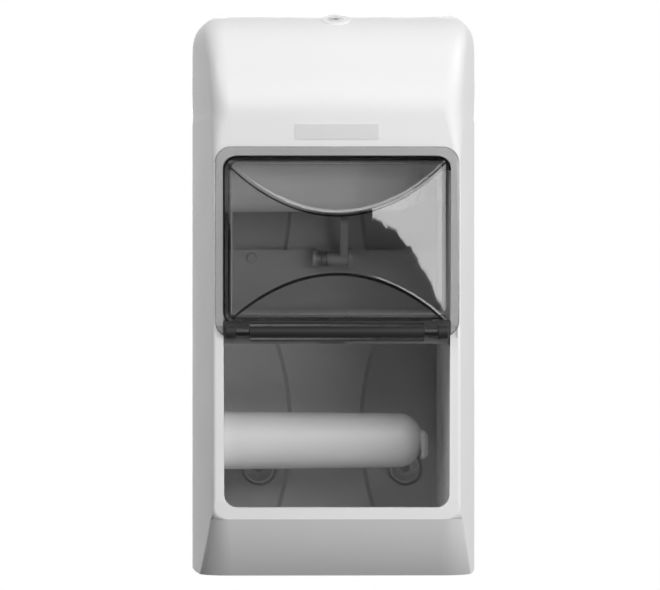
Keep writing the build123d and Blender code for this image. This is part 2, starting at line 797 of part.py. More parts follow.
def back_plate_piece():
    """Grey back plate with its rim, raised panel, wall bosses, ledge and hinge lugs."""
    with BuildPart() as piece:
        extrude(plate_face(0, 0), amount=plate_rim_depth)
        extrude(plate_face(plate_rim_wall, plate_thickness), amount=overrun, mode=Mode.SUBTRACT)
        # Raised centre panel, whose sides are drawn in beside each roll
        panel_middle = (panel_top + panel_bottom) / 2
        low_waist = lower_roll_height + panel_waist_shift
        high_waist = upper_roll_height - panel_waist_shift
        cusp = (low_waist + high_waist) / 2
        with BuildSketch(Plane.XZ.offset(plate_thickness)):
            with BuildLine():
                for side in (-1, 1):
                    ThreePointArc(panel_corner(side, panel_bottom, low_waist),
                                  panel_corner(side, low_waist, low_waist),
                                  panel_corner(side, cusp, low_waist))
                    ThreePointArc(panel_corner(side, cusp, high_waist),
                                  panel_corner(side, high_waist, high_waist),
                                  panel_corner(side, panel_top, high_waist))
                Line(panel_corner(-1, panel_bottom, low_waist), panel_corner(1, panel_bottom, low_waist))
                Line(panel_corner(-1, panel_top, high_waist), panel_corner(1, panel_top, high_waist))
            make_face()
        extrude(amount=panel_thickness, taper=panel_side_slope)
        with BuildSketch(Plane.XZ.offset(plate_thickness)):
            with Locations((-pad_x, divider_screw_height), (pad_x, divider_screw_height)):
                Circle(pad_radius)
        extrude(amount=panel_thickness)
        with BuildSketch(Plane.XZ.offset(plate_thickness)):
            with GridLocations(wall_hole_spacing_x, wall_hole_spacing_z, 2, 2):
                Circle(wall_boss_radius + wall_boss_groove)
        extrude(amount=-wall_boss_groove_depth, mode=Mode.SUBTRACT)
        boss_front = plate_thickness + wall_boss_height
        with BuildSketch(Plane.XZ.offset(plate_thickness - wall_boss_groove_depth)):
            with GridLocations(wall_hole_spacing_x, wall_hole_spacing_z, 2, 2):
                Circle(wall_boss_radius)
        extrude(amount=wall_boss_height + wall_boss_groove_depth)
        boss_rims = piece.edges().filter_by(GeomType.CIRCLE).filter_by_position(
            Axis.Y, -boss_front - running_slip, -boss_front + running_slip)
        fillet(boss_rims, wall_boss_lip_round)
        for x in (-wall_hole_spacing_x / 2, wall_hole_spacing_x / 2):
            for z in (-wall_hole_spacing_z / 2, wall_hole_spacing_z / 2):
                with BuildSketch(Plane.XZ.offset(boss_front)):
                    with Locations((x, z)):
                        Circle(wall_boss_dish_radius)
                with BuildSketch(Plane.XZ.offset(boss_front - wall_boss_dish)):
                    with Locations((x, z)):
                        Circle(wall_boss_seat_radius)
                loft(mode=Mode.SUBTRACT)
        with BuildSketch(Plane.XZ):
            with GridLocations(wall_hole_spacing_x, wall_hole_spacing_z, 2, 2):
                Circle(wall_hole_radius)
        extrude(amount=boss_front, mode=Mode.SUBTRACT)
        # Ledge under the rolls and the lugs of the cover's hinge
        with BuildSketch(Plane.XY.offset(plate_bottom)):
            with Locations((0, -ledge_front / 2)):
                Rectangle(lug_outer * 2, ledge_front)
        extrude(amount=ledge_thickness)
        for side in (-1, 1):
            with BuildSketch(Plane.YZ.offset(side * lug_outer)):
                with Locations((-cover_pivot_depth, cover_pivot_height)):
                    Circle(pivot_lug_radius)
                with Locations((-cover_pivot_depth / 2, cover_pivot_height)):
                    Rectangle(cover_pivot_depth, pivot_lug_radius * 2)
            extrude(amount=-side * pivot_lug_thickness)
            with BuildSketch(Plane.YZ.offset(side * lug_outer)):
                with Locations((-cover_pivot_depth, cover_pivot_height)):
                    Circle(cover_pin_radius)
            extrude(amount=-side * pivot_lug_thickness, mode=Mode.SUBTRACT)
        # Coring of the panel from behind
        with BuildSketch(Plane.XZ):
            with Locations((0, panel_middle)):
                RectangleRounded(rear_pocket_half * 2,
                                 panel_top - panel_bottom - rear_pocket_margin * 2, rear_pocket_margin)
        extrude(amount=rear_pocket_depth, mode=Mode.SUBTRACT)
        pilot_places = [(-pad_x, divider_screw_height), (pad_x, divider_screw_height)]
        pilot_places += [(-catch_screw_spacing / 2, catch_height - catch_base_height / 2),
                         (catch_screw_spacing / 2, catch_height - catch_base_height / 2)]
        with BuildSketch(Plane.XZ.offset(panel_front)):
            with Locations(*pilot_places):
                Circle(screw_radius)
        extrude(amount=-(panel_front - rear_pocket_depth - running_gap), mode=Mode.SUBTRACT)
        with BuildSketch(Plane.XZ.offset(plate_thickness)):
            for height in side_foot_screws:
                with Locations((side_foot_x, height)):
                    Circle(screw_radius)
        extrude(amount=-(plate_thickness - running_gap), mode=Mode.SUBTRACT)
    return piece


def cover_pin_group():
    """The two hinge pins of the cover, held in the back plate's lugs."""
    pin_inner = lug_outer - pivot_lug_thickness - running_gap
    pin_outer = half_width - pivot_skin - running_gap
    with BuildPart() as pins:
        for side in (-1, 1):
            with BuildSketch(Plane.YZ.offset(side * pin_inner)):
                with Locations((-cover_pivot_depth, cover_pivot_height)):
                    Circle(cover_pin_radius)
            extrude(amount=side * (pin_outer - pin_inner))
    return pins


# Side wall that carries the roller arms
side_wall_front_room = 26.0
side_wall_slope = 28.0
side_wall_front = body_depth - side_wall_front_room
side_wall_shoulder = side_wall_front - side_wall_slope
side_wall_corner = 20.0
side_foot_thickness = 2.5
socket_radius = 14.0
socket_height = 3.5
socket_rib_radius = 22.0
socket_rib_width = 2.0
arm_hole_radius = 4.0


def side_wall_piece():
    """Upright wall at the left of the rolls, with a foot along the back plate."""
    wall_left = roll_bay_left - side_wall_thickness
    rear = plate_thickness
    middle_depth = (side_wall_shoulder + side_wall_front) / 2
    with BuildPart() as piece:
        with BuildSketch(Plane.YZ.offset(wall_left)) as outline:
            with BuildLine():
                Polyline((-rear, side_wall_bottom), (-side_wall_shoulder, side_wall_bottom),
                         (-side_wall_front, side_wall_bottom + side_wall_corner),
                         (-side_wall_front, side_wall_top - side_wall_corner),
                         (-side_wall_shoulder, side_wall_top), (-rear, side_wall_top), close=True)
            make_face()
            front_corners = outline.vertices().group_by(Axis.X)
            fillet(front_corners[0] + front_corners[1], side_wall_corner / 2)
        extrude(amount=side_wall_thickness)
        with BuildSketch(Plane.XZ.offset(rear)):
            with Locations((side_foot_x, (side_wall_top + side_wall_bottom) / 2)):
                Rectangle(side_foot_width, side_wall_top - side_wall_bottom)
        extrude(amount=side_foot_thickness)
        with BuildSketch(Plane.YZ.offset(wall_left)):
            with Locations((-roll_depth, upper_roll_height), (-roll_depth, lower_roll_height)):
                Circle(socket_rib_radius)
                Circle(socket_rib_radius - socket_rib_width, mode=Mode.SUBTRACT)
                Circle(socket_radius)
        extrude(amount=-socket_height)
        # Shallow upright stiffeners between the sockets
        with BuildSketch(Plane.YZ.offset(wall_left)):
            with Locations((-roll_depth / 2, 0), (-middle_depth, 0)):
                Rectangle(socket_rib_width, (side_wall_top - side_wall_bottom) / 2)
        extrude(amount=-socket_height)
        with BuildSketch(Plane.YZ.offset(roll_bay_left)):
            with Locations((-roll_depth, upper_roll_height), (-roll_depth, lower_roll_height)):
                Circle(arm_hole_radius)
        extrude(amount=-(side_wall_thickness + socket_height), mode=Mode.SUBTRACT)
        with BuildSketch(Plane.XZ.offset(rear)):
            for height in side_foot_screws:
                with Locations((side_foot_x, height)):
                    Circle(screw_radius)
        extrude(amount=side_foot_thickness, mode=Mode.SUBTRACT)
    return piece


# Roller arms, rollers and clips, measured along X
arm_boss_radius = 10.0
arm_boss_length = 6.0
arm_stem_radius = 6.0
roller_start = roll_bay_left + running_gap
bearing_width = 4.0
recess_length = arm_boss_length + running_gap
neck_radius = 3.5
clip_length = 3.7
clip_half_width = 6.0
clip_rise = 5.2
clip_drop = 10.0
clip_corner = 2.0
arm_screw_length = 9.0
arm_screw_radius = 2.0
arm_screw_head_radius = 5.0
arm_screw_head_height = 2.4


def arm_piece(height):
    """Fixed arm of one roller: spigot in the side wall, boss, stem and neck."""
    socket_left = roll_bay_left - side_wall_thickness - socket_height
    stem_end = roller_right + running_gap
    with BuildPart() as piece:
        with BuildSketch(Plane.YZ.offset(roll_bay_left)):
            with Locations((-roll_depth, height)):
                Circle(arm_boss_radius)
        extrude(amount=arm_boss_length)
        with BuildSketch(Plane.YZ.offset(socket_left)):
            with Locations((-roll_depth, height)):
                Circle(arm_hole_radius)
        extrude(amount=roll_bay_left - socket_left)
        with BuildSketch(Plane.YZ.offset(roll_bay_left)):
            with Locations((-roll_depth, height)):
                Circle(arm_stem_radius)
        extrude(amount=stem_end - roll_bay_left)
        with BuildSketch(Plane.YZ.offset(stem_end)):
            with Locations((-roll_depth, height)):
                Circle(neck_radius)
        extrude(amount=clip_length - running_gap)
        with BuildSketch(Plane.YZ.offset(socket_left)):
            with Locations((-roll_depth, height)):
                Circle(arm_screw_radius)
        extrude(amount=arm_screw_length, mode=Mode.SUBTRACT)
    return piece


def roller_piece(height):
    """Hollow tapering roller with a rounded free end, which turns on its arm."""
    length = roller_right - roller_start
    bearing_start = roller_start + recess_length
    taper = (roller_left_radius - roller_right_radius) / length
    with BuildPart() as piece:
        with BuildSketch(Plane.XY.offset(height)) as profile:
            with BuildLine():
                Polyline((roller_start, -roll_depth), (roller_start, roller_left_radius - roll_depth),
                         (roller_right, roller_right_radius - roll_depth), (roller_right, -roll_depth),
                         close=True)
            make_face()
            rim_corner = (roller_right, roller_right_radius - roll_depth, 0)
            fillet(profile.vertices().sort_by_distance(rim_corner)[0], roller_end_round)
        revolve(axis=Axis((0, -roll_depth, height), (1, 0, 0)))
        with BuildSketch(Plane.YZ.offset(roller_start)):
            with Locations((-roll_depth, height)):
                Circle(roller_left_radius - roller_wall)
        extrude(amount=recess_length, mode=Mode.SUBTRACT)
        hollow_start = bearing_start + bearing_width
        hollow_end = roller_right - roller_end_round
        hollow_radius = roller_left_radius - roller_wall - taper * length
        with BuildSketch(Plane.YZ.offset(hollow_start)):
            with Locations((-roll_depth, height)):
                Circle(hollow_radius)
        extrude(amount=hollow_end - hollow_start, mode=Mode.SUBTRACT)
        with BuildSketch(Plane.YZ.offset(roller_start)):
            with Locations((-roll_depth, height)):
                Circle(arm_stem_radius + running_slip)
        extrude(amount=length + overrun, mode=Mode.SUBTRACT)
    return piece


def clip_piece(height):
    """Clip on the arm's neck, which keeps the roller on."""
    clip_start = roller_right + running_gap
    with BuildPart() as piece:
        with BuildSketch(Plane.YZ.offset(clip_start)):
            with Locations((-roll_depth, height + (clip_rise - clip_drop) / 2)):
                RectangleRounded(clip_half_width * 2, clip_rise + clip_drop, clip_corner)
        extrude(amount=clip_length)
        chamfer(piece.edges().filter_by(Axis.Y).sort_by(Axis.Z)[-1:], clip_corner)
        with BuildSketch(Plane.YZ.offset(clip_start)):
            with Locations((-roll_depth, height)):
                Circle(neck_radius)
        extrude(amount=clip_length - running_gap, mode=Mode.SUBTRACT)
    return piece


def arm_screw_group():
    """The two screws that hold the arms, from the far side of the side wall."""
    socket_left = roll_bay_left - side_wall_thickness - socket_height
    with BuildPart() as screws:
        for height in (upper_roll_height, lower_roll_height):
            with BuildSketch(Plane.YZ.offset(socket_left)):
                with Locations((-roll_depth, height)):
                    Circle(arm_screw_head_radius)
            extrude(amount=-arm_screw_head_height)
            with BuildSketch(Plane.YZ.offset(socket_left)):
                with Locations((-roll_depth, height)):
                    Circle(arm_screw_radius)
            extrude(amount=arm_screw_length)
    return screws


# Divider between the rolls
divider_thickness = 2.0
divider_bend_radius = 25.5
divider_front_room = 13.5
divider_front = body_depth - divider_front_room
divider_fall = 3.0
divider_side_gap = 0.4
divider_right = roll_bay_right - liner_draft - divider_side_gap
divider_left = roll_bay_left


def divider_piece():
    """Curved divider, screwed to the back plate, under the upper roll."""
    back = panel_front
    bend_y = -back - divider_bend_radius
    low = divider_flange_bottom - divider_bend_radius
    inner_radius = divider_bend_radius - divider_thickness
    outer_share = sqrt(2) / 2
    with BuildPart() as piece:
        with BuildSketch(Plane.YZ.offset(divider_left)):
            with BuildLine():
                Line((-back, divider_flange_top), (-back, divider_flange_bottom))
                ThreePointArc((-back, divider_flange_bottom),
                              (bend_y + divider_bend_radius * outer_share,
                               divider_flange_bottom - divider_bend_radius * outer_share),
                              (bend_y, low))
                Line((bend_y, low), (-divider_front, low - divider_fall))
                Line((-divider_front, low - divider_fall),
                     (-divider_front, low - divider_fall + divider_thickness))
                Line((-divider_front, low - divider_fall + divider_thickness),
                     (bend_y, low + divider_thickness))
                ThreePointArc((bend_y, low + divider_thickness),
                              (bend_y + inner_radius * outer_share,
                               divider_flange_bottom - inner_radius * outer_share),
                              (-back - divider_thickness, divider_flange_bottom))
                Line((-back - divider_thickness, divider_flange_bottom),
                     (-back - divider_thickness, divider_flange_top))
                Line((-back - divider_thickness, divider_flange_top), (-back, divider_flange_top))
            make_face()
        extrude(amount=divider_right - divider_left)
        with BuildSketch(Plane.XZ.offset(back)):
            with Locations((-pad_x, divider_screw_height), (pad_x, divider_screw_height)):
                Circle(screw_radius)
        extrude(amount=divider_thickness, mode=Mode.SUBTRACT)
    return piece


# Centre bracket with the roll brake
bracket_half = 11.0
bracket_wall = 2.0
bracket_above_flange = 1.0
bracket_top = divider_flange_top + bracket_above_flange
brake_pivot_rise = 4.0
brake_pivot_depth = 16.5
brake_pivot_height = divider_flange_bottom + brake_pivot_rise
cheek_radius = 5.0
brake_pin_radius = 1.5
brake_hub_radius = 3.4
brake_arm_left = 4.4
brake_arm_right = 8.4
brake_reach = 14.5
brake_rise = 20.0
brake_tip_depth = brake_pivot_depth + brake_reach
brake_tip_height = brake_pivot_height + brake_rise
brake_tip_radius = 2.4
brake_hub_left = bracket_wall - bracket_half + running_gap
brake_hub_right = bracket_half - bracket_wall - running_gap
spring_wire_radius = 0.4
spring_turns = 4
spring_pitch = 1.3
spring_inset = 3.6
spring_start = spring_inset - bracket_half
spring_coil_radius = brake_hub_radius + spring_wire_radius * 2
bracket_back = panel_front + divider_thickness


def bracket_piece():
    """Bracket with two cheeks that carry the brake lever's pin."""
    with BuildPart() as piece:
        with BuildSketch(Plane.XZ.offset(bracket_back)):
            with Locations((0, (bracket_top + divider_flange_bottom) / 2)):
                Rectangle(bracket_half * 2, bracket_top - divider_flange_bottom)
        extrude(amount=bracket_wall)
        for side in (-1, 1):
            with BuildSketch(Plane.YZ.offset(side * bracket_half)):
                with Locations((-brake_pivot_depth, brake_pivot_height)):
                    Circle(cheek_radius)
                with BuildLine():
                    Polyline((-bracket_back, divider_flange_bottom),
                             (-brake_pivot_depth, brake_pivot_height - cheek_radius),
                             (-brake_pivot_depth, brake_pivot_height + cheek_radius),
                             (-bracket_back, bracket_top), close=True)
                make_face()
            extrude(amount=-side * bracket_wall)
        with BuildSketch(Plane.YZ.offset(-bracket_half)):
            with Locations((-brake_pivot_depth, brake_pivot_height)):
                Circle(brake_pin_radius)
        extrude(amount=bracket_half * 2, mode=Mode.SUBTRACT)
    return piece


def brake_pin_piece():
    """Steel pin of the brake lever."""
    with BuildPart() as piece:
        with BuildSketch(Plane.YZ.offset(-bracket_half)):
            with Locations((-brake_pivot_depth, brake_pivot_height)):
                Circle(brake_pin_radius)
        extrude(amount=bracket_half * 2)
    return piece


def brake_lever_piece():
    """Brake lever: hub on the pin and a tapering arm whose tip rubs on the roll."""
    with BuildPart() as piece:
        with BuildSketch(Plane.YZ.offset(brake_hub_left)):
            with Locations((-brake_pivot_depth, brake_pivot_height)):
                Circle(brake_hub_radius)
        extrude(amount=brake_hub_right - brake_hub_left)
        with BuildSketch(Plane.YZ.offset(brake_arm_left)):
            with BuildLine():
                Polyline((-brake_pivot_depth + brake_hub_radius, brake_pivot_height),
                         (-brake_pivot_depth - brake_hub_radius, brake_pivot_height),
                         (-brake_tip_depth - brake_tip_radius, brake_tip_height),
                         (-brake_tip_depth + brake_tip_radius, brake_tip_height), close=True)
            make_face()
            with Locations((-brake_tip_depth, brake_tip_height)):
                Circle(brake_tip_radius)
        extrude(amount=brake_arm_right - brake_arm_left)
        with BuildSketch(Plane.YZ.offset(brake_hub_left)):
            with Locations((-brake_pivot_depth, brake_pivot_height)):
                Circle(brake_pin_radius + running_slip)
        extrude(amount=brake_hub_right - brake_hub_left, mode=Mode.SUBTRACT)
    return piece


def brake_spring_piece():
    """Coil of the brake's torsion spring round the lever's hub."""
    coil_start = Vector(spring_start, -brake_pivot_depth, brake_pivot_height)
    with BuildPart() as piece:
        with BuildLine() as coil:
            Helix(pitch=spring_pitch, height=spring_pitch * spring_turns, radius=spring_coil_radius,
                  center=coil_start, direction=(1, 0, 0))
        with BuildSketch(Plane(origin=coil.line @ 0, z_dir=coil.line % 0)):
            RegularPolygon(spring_wire_radius, 6)
        sweep()
    return piece


# Catch for the lock, on a tongue under the cover's brow
tongue_half = 8.0
tongue_thickness = 2.6
tongue_short = 12.07
tongue_widen_back = 28.07
tongue_end = lock_depth - tongue_short
tongue_widen_depth = lock_depth - tongue_widen_back
catch_lip_left = 9.6
catch_lip_right = 15.0
catch_lip_ahead = 1.1
catch_lip_front = lock_depth + catch_lip_ahead
catch_lip_height = 6.8
catch_lip_thickness = 2.6
catch_wall = 2.0
tongue_rib_height = 3.2


def catch_piece():
    """Tongue off the back plate, with the lip that the lock's cam grips."""
    base_bottom = catch_height - catch_base_height
    with BuildPart() as piece:
        with BuildSketch(Plane.XZ.offset(panel_front)):
            with Locations((0, catch_height - catch_base_height / 2)):
                Rectangle(catch_base_half * 2, catch_base_height)
        extrude(amount=catch_wall)
        with BuildSketch(Plane.XY.offset(catch_height - tongue_thickness)):
            with BuildLine():
                Polyline((-tongue_half, -panel_front), (-tongue_half, -tongue_end),
                         (catch_lip_left, -tongue_end), (catch_lip_left, -catch_lip_front),
                         (catch_lip_right, -catch_lip_front), (catch_lip_right, -tongue_widen_depth),
                         (tongue_half, -tongue_widen_depth + tongue_half), (tongue_half, -panel_front),
                         close=True)
            make_face()
        extrude(amount=tongue_thickness)
        for side in (-1, 1):
            with BuildSketch(Plane.YZ.offset(side * tongue_half)):
                with BuildLine():
                    Polyline((-panel_front, base_bottom), (-tongue_widen_depth, catch_height
                                                           - tongue_rib_height),
                             (-tongue_widen_depth, catch_height - tongue_thickness),
                             (-panel_front, catch_height - tongue_thickness), close=True)
                make_face()
            extrude(amount=-side * catch_wall)
        with BuildSketch(Plane.XY.offset(catch_height)):
            with Locations(((catch_lip_left + catch_lip_right) / 2,
                            -catch_lip_front + catch_lip_thickness / 2)):
                Rectangle(catch_lip_right - catch_lip_left, catch_lip_thickness)
        extrude(amount=catch_lip_height)
        with BuildSketch(Plane.XZ.offset(panel_front)):
            with Locations((-catch_screw_spacing / 2, catch_height - catch_base_height / 2),
                           (catch_screw_spacing / 2, catch_height - catch_base_height / 2)):
                Circle(screw_radius)
        extrude(amount=catch_wall, mode=Mode.SUBTRACT)
    return piece


def build_all():
    """Make every piece and write its file."""
    os.makedirs("parts", exist_ok=True)
    save(front_cover_piece(), "front_cover")
    save(strip_piece(), "blank_nameplate")
    save(liner_piece(), "cover_liner")
    save(liner_screw_group(), "liner_screws")
    save(crossbar_piece(), "hinge_crossbar")
    save(barrel_piece(), "hinge_barrel")
    save(rod_piece(), "flap_hinge_rod")
    save(flap_piece(), "flap_window")
    save(lock_collar_piece(), "lock_collar")
    save(lock_nut_piece(), "lock_nut")
    save(lock_barrel_piece(), "lock_barrel")
    save(lock_cam_piece(), "lock_cam")
    save(cam_screw_piece(), "cam_screw")
    save(back_plate_piece(), "back_plate")
    save(cover_pin_group(), "cover_hinge_pins")
    save(side_wall_piece(), "side_wall")
    for name, height in (("upper", upper_roll_height), ("lower", lower_roll_height)):
        save(arm_piece(height), name + "_arm")
        save(roller_piece(height), name + "_roller")
        save(clip_piece(height), name + "_clip")
    save(arm_screw_group(), "arm_screws")
    save(divider_piece(), "mid_divider")
    save(bracket_piece(), "brake_bracket")
    save(brake_pin_piece(), "brake_pin")
    save(brake_lever_piece(), "brake_lever")
    save(brake_spring_piece(), "brake_spring")
    save(catch_piece(), "lock_catch")
    pad_places = [(-pad_x, divider_screw_height), (pad_x, divider_screw_height)]
    catch_places = [(-catch_screw_spacing / 2, catch_height - catch_base_height / 2),
                    (catch_screw_spacing / 2, catch_height - catch_base_height / 2)]
    foot_places = [(side_foot_x, height) for height in side_foot_screws]
    seat_places = [(-seat_screw_x, hinge_height), (seat_screw_x, hinge_height)]
    pilot_depth = panel_front - rear_pocket_depth - running_gap
    save(screw_group(Plane.XZ.offset(bracket_back), pad_places, pilot_depth + divider_thickness,
                     screw_radius, screw_head_radius), "divider_screws")
    save(screw_group(Plane.XZ.offset(panel_front + catch_wall), catch_places, pilot_depth + catch_wall,
                     screw_radius, screw_head_radius), "catch_screws")
    foot_hold = side_foot_thickness + plate_thickness - running_gap
    save(screw_group(Plane.XZ.offset(plate_thickness + side_foot_thickness), foot_places, foot_hold,
                     screw_radius, screw_head_radius), "side_wall_screws")
    seat_plane = Plane(origin=(0, -lug_back + lug_thickness, 0), x_dir=(1, 0, 0), z_dir=(0, 1, 0))
    back_places = [(x, -z) for x, z in seat_places]
    save(screw_group(seat_plane, back_places, lug_thickness + seat_screw_length,
                     seat_screw_radius, seat_screw_head_radius), "crossbar_screws")


build_all()
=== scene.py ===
from math import cos, pi, radians, sin

import bpy
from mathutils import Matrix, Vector

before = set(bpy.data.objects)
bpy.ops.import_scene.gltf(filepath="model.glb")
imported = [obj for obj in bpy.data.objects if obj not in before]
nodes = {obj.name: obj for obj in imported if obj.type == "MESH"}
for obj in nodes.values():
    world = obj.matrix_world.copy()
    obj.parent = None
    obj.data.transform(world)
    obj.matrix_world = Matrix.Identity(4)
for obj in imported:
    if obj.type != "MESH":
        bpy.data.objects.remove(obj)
bpy.context.view_layer.update()
scene = bpy.context.scene

MM = 0.001

# Shader nodes


def grey(value):
    """Neutral opaque colour."""
    return (value, value, value, 1)


def empty_material(name):
    """Node material with nothing but its output."""
    mat = bpy.data.materials.new(name)
    mat.use_nodes = True
    tree = mat.node_tree
    tree.nodes.clear()
    out = tree.nodes.new("ShaderNodeOutputMaterial")
    return mat, tree, out


def new_material(name):
    """Node material with a Principled shader on its output."""
    mat, tree, out = empty_material(name)
    shader = tree.nodes.new("ShaderNodeBsdfPrincipled")
    tree.links.new(shader.outputs[0], out.inputs[0])
    return mat, tree, shader, out


def noise_node(tree, scale, detail, rough=0.5):
    """Noise texture in object coordinates, scale in features per metre."""
    coord = tree.nodes.new("ShaderNodeTexCoord")
    noise = tree.nodes.new("ShaderNodeTexNoise")
    noise.inputs["Scale"].default_value = scale
    noise.inputs["Detail"].default_value = detail
    noise.inputs["Roughness"].default_value = rough
    tree.links.new(coord.outputs["Object"], noise.inputs["Vector"])
    return noise


def ramp_node(tree, source, low, high, dark, light):
    """Colour ramp from a dark to a light colour over a span of its source."""
    ramp = tree.nodes.new("ShaderNodeValToRGB")
    ramp.color_ramp.elements[0].position = low
    ramp.color_ramp.elements[0].color = dark
    ramp.color_ramp.elements[1].position = high
    ramp.color_ramp.elements[1].color = light
    tree.links.new(source, ramp.inputs[0])
    return ramp


def map_node(tree, source, low, high):
    """Map a 0 to 1 source to a range."""
    node = tree.nodes.new("ShaderNodeMapRange")
    node.inputs["To Min"].default_value = low
    node.inputs["To Max"].default_value = high
    tree.links.new(source, node.inputs["Value"])
    return node


def bump_node(tree, height, strength, distance, below=None):
    """Bump from a height, distance in metres, on top of another bump or alone."""
    bump = tree.nodes.new("ShaderNodeBump")
    bump.inputs["Strength"].default_value = strength
    bump.inputs["Distance"].default_value = distance
    tree.links.new(height, bump.inputs["Height"])
    if below is not None:
        tree.links.new(below.outputs[0], bump.inputs["Normal"])
    return bump


def mix_colour(tree, factor, first, second):
    """Mix a colour socket with a plain colour by a factor socket."""
    node = tree.nodes.new("ShaderNodeMix")
    node.data_type = "RGBA"
    node.inputs["B"].default_value = second
    tree.links.new(factor, node.inputs["Factor"])
    tree.links.new(first, node.inputs["A"])
    return node.outputs["Result"]


def math_node(tree, operation, *values):
    """Math node on sockets or plain values."""
    node = tree.nodes.new("ShaderNodeMath")
    node.operation = operation
    for socket, value in zip(node.inputs, values):
        if isinstance(value, (int, float)):
            socket.default_value = value
        else:
            tree.links.new(value, socket)
    return node.outputs[0]


# Opaque finishes: noise scales in features per metre, then the spans of their ramps
FLOW = {"scale": 14.0, "detail": 3.0}
FLOW_SPAN = (0.35, 0.65)
GLOSS = {"scale": 45.0, "detail": 4.0, "rough": 0.6}
GRAIN = {"detail": 2.0, "rough": 0.6}
GRAIN_HEIGHT = 0.12 * MM
WAVE = {"scale": 30.0, "detail": 2.0}
WAVE_STRENGTH = 0.04
WAVE_HEIGHT = 0.6 * MM
# Pointiness at which an edge starts to look rubbed and is fully so, and how much paler it gets
EDGE_SPAN = (0.53, 0.60)
EDGE_LIFT = 1.25

BRUSH = {"Scale": 900.0, "Detail": 3.0}
BRUSH_STRENGTH = 0.25
BRUSH_HEIGHT = 0.06 * MM
BRUSH_SMOOTHER = 0.1
BRUSH_ROUGHER = 0.14
TARNISH = {"scale": 160.0, "detail": 4.0, "rough": 0.6}
TARNISH_SPAN = (0.3, 0.6)
TARNISHED = (0.62, 0.61, 0.6)
POLISHED = (1.0, 1.0, 1.01)


def plastic(name, colour, shade, rough, rough_span, grain, grain_strength, wear=0.0, specular=0.5):
    """Moulded plastic: faint flow mottling, spark-eroded grain, softly varying gloss and rubbed edges."""
    mat, tree, shader, _ = new_material(name)
    flow = noise_node(tree, **FLOW)
    tone = ramp_node(tree, flow.outputs[0], *FLOW_SPAN, grey(colour * (1 - shade)), grey(colour))
    surface_colour = tone.outputs[0]
    if wear:
        geometry = tree.nodes.new("ShaderNodeNewGeometry")
        edge = ramp_node(tree, geometry.outputs["Pointiness"], *EDGE_SPAN, grey(0), grey(wear))
        rubbed = grey(min(colour * EDGE_LIFT, 1))
        surface_colour = mix_colour(tree, edge.outputs[0], surface_colour, rubbed)
    tree.links.new(surface_colour, shader.inputs["Base Color"])
    gloss = noise_node(tree, **GLOSS)
    span = map_node(tree, gloss.outputs[0], rough - rough_span, rough + rough_span)
    tree.links.new(span.outputs[0], shader.inputs["Roughness"])
    fine = noise_node(tree, grain, **GRAIN)
    wave = noise_node(tree, **WAVE)
    broad = bump_node(tree, wave.outputs[0], WAVE_STRENGTH, WAVE_HEIGHT)
    bump = bump_node(tree, fine.outputs[0], grain_strength, GRAIN_HEIGHT, broad)
    tree.links.new(bump.outputs[0], shader.inputs["Normal"])
    shader.inputs["Specular IOR Level"].default_value = specular
    return mat


def metal(name, colour, rough, brushed):
    """Plated steel or die-cast metal with fine brushing, smudges and tarnish."""
    mat, tree, shader, _ = new_material(name)
    coord = tree.nodes.new("ShaderNodeTexCoord")
    stretch = tree.nodes.new("ShaderNodeMapping")
    stretch.inputs["Scale"].default_value = (brushed, 1.0, 1.0)
    tree.links.new(coord.outputs["Object"], stretch.inputs["Vector"])
    brush = tree.nodes.new("ShaderNodeTexNoise")
    for setting, value in BRUSH.items():
        brush.inputs[setting].default_value = value
    tree.links.new(stretch.outputs[0], brush.inputs["Vector"])
    smudge = noise_node(tree, **TARNISH)
    dark = tuple(colour * share for share in TARNISHED) + (1,)
    light = tuple(colour * share for share in POLISHED) + (1,)
    tone = ramp_node(tree, smudge.outputs[0], *TARNISH_SPAN, dark, light)
    tree.links.new(tone.outputs[0], shader.inputs["Base Color"])
    shader.inputs["Metallic"].default_value = 1.0
    span = map_node(tree, brush.outputs[0], rough - BRUSH_SMOOTHER, rough + BRUSH_ROUGHER)
    tree.links.new(span.outputs[0], shader.inputs["Roughness"])
    bump = bump_node(tree, brush.outputs[0], BRUSH_STRENGTH, BRUSH_HEIGHT)
    tree.links.new(bump.outputs[0], shader.inputs["Normal"])
    return mat


# The flap's form in its own object coordinates, which are the frame's at rest. Its crowned middle: half
# width, radius and rise of the crown, lower and upper end, and how far the lower crease climbs and the upper
# one drops for each millimetre that the crown rises
FACET_HALF = 57.3 * MM
FACET_RADIUS = 140.66 * MM
FACET_RISE = 12.2 * MM
FACET_LOW = -14.5 * MM
FACET_TOP = 70.0 * MM
SMILE_SLOPE = 2.205
FROWN_SLOPE = 2.074
# Its outer edge
FLAP_HALF = 64.7 * MM
FLAP_LOW = -22.9 * MM
FLAP_TOP = 77.7 * MM
FLAP_CORNER = 9.0 * MM

# Where shade is painted into the smoke's colour, for the dark seen at its creases, rims and foot: distances
# from the creases, from the crowned middle's rim and from the outer edge, and heights at its foot
BAND_SOFTNESS = 0.2 * MM
FROWN_BAND = (-1.3 * MM, 0.2 * MM)
SMILE_BAND = (-2.8 * MM, -1.9 * MM)
STEP_BAND = (-1.3 * MM, 0.3 * MM)
RIM_BAND = (1.7 * MM, 2.9 * MM)
RIM_CORNER = 5.0 * MM
OUTLINE_BAND = (-0.8 * MM, 0.6 * MM)
SOLE_BAND = (FACET_LOW - 0.3 * MM, FACET_LOW + 3.5 * MM)
# How strong the painted shade is there, from 0 to 1, and its tint at 1
FACET_SHADE = 0.15
RIM_SHADE = 0.7
OUTLINE_SHADE = 0.5
SOLE_SHADE = 0.8
PAINTED_SHADE_TINT = 0.08
# Down the rim's right side the painted shade is fainter
RIGHT_RIM = 50.0 * MM
RIGHT_RIM_FADE = 0.8

